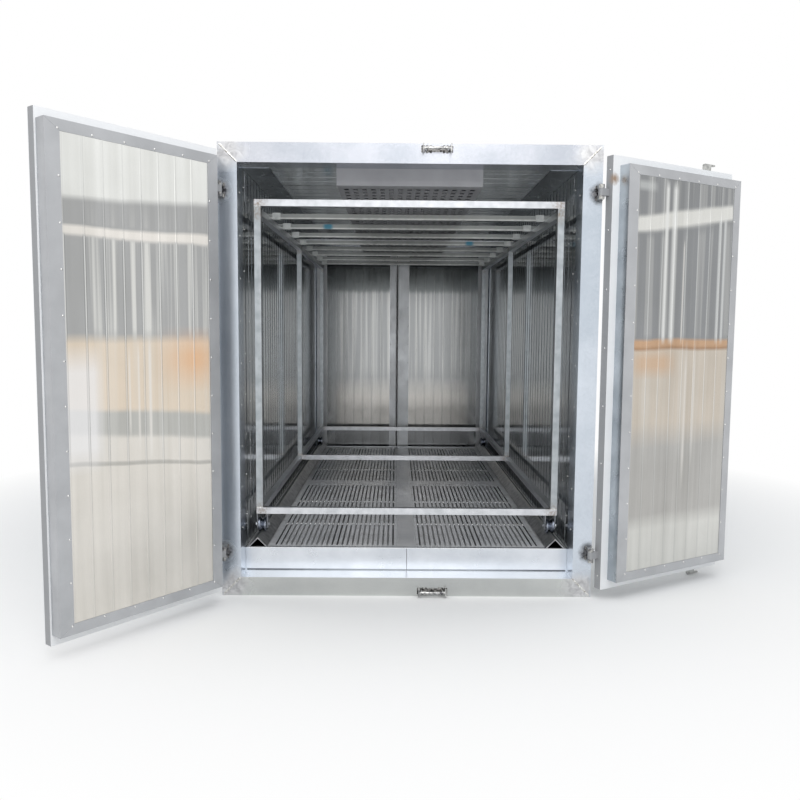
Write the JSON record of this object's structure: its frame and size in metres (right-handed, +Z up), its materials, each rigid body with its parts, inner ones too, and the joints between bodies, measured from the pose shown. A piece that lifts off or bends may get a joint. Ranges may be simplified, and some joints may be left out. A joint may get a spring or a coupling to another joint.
{
  "type": "powder coating oven",
  "caption": "Insulated drive-through curing oven cabinet with stepped plug doors at both ends, slotted air floor, angle rails and a hanging trolley on grooved wheels.",
  "frame": {"origin": "centre of the cabinet footprint, on the ground", "axes": "+X to the right seen from the front, +Y into the oven from the front doorway, +Z up"},
  "size_m": [2.894, 4.5042, 2.005],
  "materials": {
    "insulated_panel": "pre-painted sheet skin",
    "galvanised_sheet": "bright galvanised sheet",
    "galvanised_frame": "galvanised plate with ground weld marks",
    "zinc_tube": "bright zinc-coated tube",
    "bare_steel": "bare rolled steel",
    "grey_cover": "matt grey",
    "plated_fitting": "zinc-plated fitting"
  },
  "bodies": {
    "cabinet": {"ceiling_duct": "grey_cover", "ceiling_edge_strips": "galvanised_sheet", "ceiling_liner": "galvanised_sheet", "duct_end_plates": "grey_cover", "floor_bearers": "bare_steel", "floor_panel": "insulated_panel", "floor_plates": "galvanised_sheet", "floor_strips": "galvanised_sheet", "frame_heads": "galvanised_frame", "frame_jambs": "galvanised_frame", "frame_sills": "galvanised_frame", "hinge_lugs": "plated_fitting", "lock_keepers": "plated_fitting", "rails": "bare_steel", "roof_panel": "insulated_panel", "sill_risers": "galvanised_sheet", "wall_liners": "galvanised_sheet", "wall_panels": "insulated_panel"},
    "front_left_door": {"front_left_door_lining": "galvanised_sheet", "front_left_door_plug": "galvanised_frame", "front_left_door_slab": "galvanised_frame", "front_left_door_trim": "galvanised_sheet"},
    "front_right_door": {"front_right_door_lining": "galvanised_sheet", "front_right_door_plug": "galvanised_frame", "front_right_door_slab": "galvanised_frame", "front_right_door_trim": "galvanised_sheet", "front_rod_guides": "plated_fitting"},
    "rear_left_door": {"rear_left_door_lining": "galvanised_sheet", "rear_left_door_plug": "galvanised_frame", "rear_left_door_slab": "galvanised_frame", "rear_left_door_trim": "galvanised_sheet"},
    "rear_right_door": {"rear_right_door_lining": "galvanised_sheet", "rear_right_door_plug": "galvanised_frame", "rear_right_door_slab": "galvanised_frame", "rear_right_door_trim": "galvanised_sheet", "rear_rod_guides": "plated_fitting"},
    "front_lock_rod": {"front_lock_rod": "plated_fitting", "front_rod_claws": "plated_fitting"},
    "rear_lock_rod": {"rear_lock_rod": "plated_fitting", "rear_rod_claws": "plated_fitting"},
    "trolley": {"bar_collars": "plated_fitting", "hanging_bars": "zinc_tube", "trolley_cross_bars": "zinc_tube", "trolley_posts": "zinc_tube", "trolley_side_rails": "zinc_tube", "wheel_forks": "plated_fitting"},
    "front_left_wheel": {"front_left_wheel": "plated_fitting"},
    "front_right_wheel": {"front_right_wheel": "plated_fitting"},
    "rear_left_wheel": {"rear_left_wheel": "plated_fitting"},
    "rear_right_wheel": {"rear_right_wheel": "plated_fitting"}
  },
  "joints": [
    {"name": "front_left_door_hinge", "type": "hinge", "parent": "cabinet", "child": "front_left_door", "pos_m": [-0.82, -1.739, 1], "axis": [0, 0, -1], "range_deg": [-128, 97]},
    {"name": "front_right_door_hinge", "type": "hinge", "parent": "cabinet", "child": "front_right_door", "pos_m": [0.82, -1.739, 1], "axis": [0, 0, 1], "range_deg": [-210, 15]},
    {"name": "rear_left_door_hinge", "type": "hinge", "parent": "cabinet", "child": "rear_left_door", "pos_m": [-0.82, 1.739, 1], "axis": [0, 0, 1], "range_deg": [0, 225]},
    {"name": "rear_right_door_hinge", "type": "hinge", "parent": "cabinet", "child": "rear_right_door", "pos_m": [0.82, 1.739, 1], "axis": [0, 0, -1], "range_deg": [0, 225]},
    {"name": "front_lock_rod_turn", "type": "hinge", "parent": "front_right_door", "child": "front_lock_rod", "pos_m": [1.41305, -1.35619, 1], "axis": [0, 0, 1], "range_deg": [-90, 0]},
    {"name": "rear_lock_rod_turn", "type": "hinge", "parent": "rear_right_door", "child": "rear_lock_rod", "pos_m": [0.07, 1.774, 1], "axis": [0, 0, -1], "range_deg": [-90, 0]},
    {"name": "trolley_run", "type": "slide", "parent": "cabinet", "child": "trolley", "axis": [0, -1, 0], "range_m": [0, 2.75]},
    {"name": "front_left_wheel_spin", "type": "hinge", "parent": "trolley", "child": "front_left_wheel", "pos_m": [-0.695, -1.43, 0.26039], "axis": [1, 0, 0], "continuous": true},
    {"name": "front_right_wheel_spin", "type": "hinge", "parent": "trolley", "child": "front_right_wheel", "pos_m": [0.695, -1.43, 0.26039], "axis": [1, 0, 0], "continuous": true},
    {"name": "rear_left_wheel_spin", "type": "hinge", "parent": "trolley", "child": "rear_left_wheel", "pos_m": [-0.695, 1.43, 0.26039], "axis": [1, 0, 0], "continuous": true},
    {"name": "rear_right_wheel_spin", "type": "hinge", "parent": "trolley", "child": "rear_right_wheel", "pos_m": [0.695, 1.43, 0.26039], "axis": [1, 0, 0], "continuous": true}
  ],
  "couplings": [
    {"joint": "front_left_wheel_spin", "follows": "trolley_run", "rad_per_m": 40.65},
    {"joint": "front_right_wheel_spin", "follows": "trolley_run", "rad_per_m": 40.65},
    {"joint": "rear_left_wheel_spin", "follows": "trolley_run", "rad_per_m": 40.65},
    {"joint": "rear_right_wheel_spin", "follows": "trolley_run", "rad_per_m": 40.65}
  ]
}
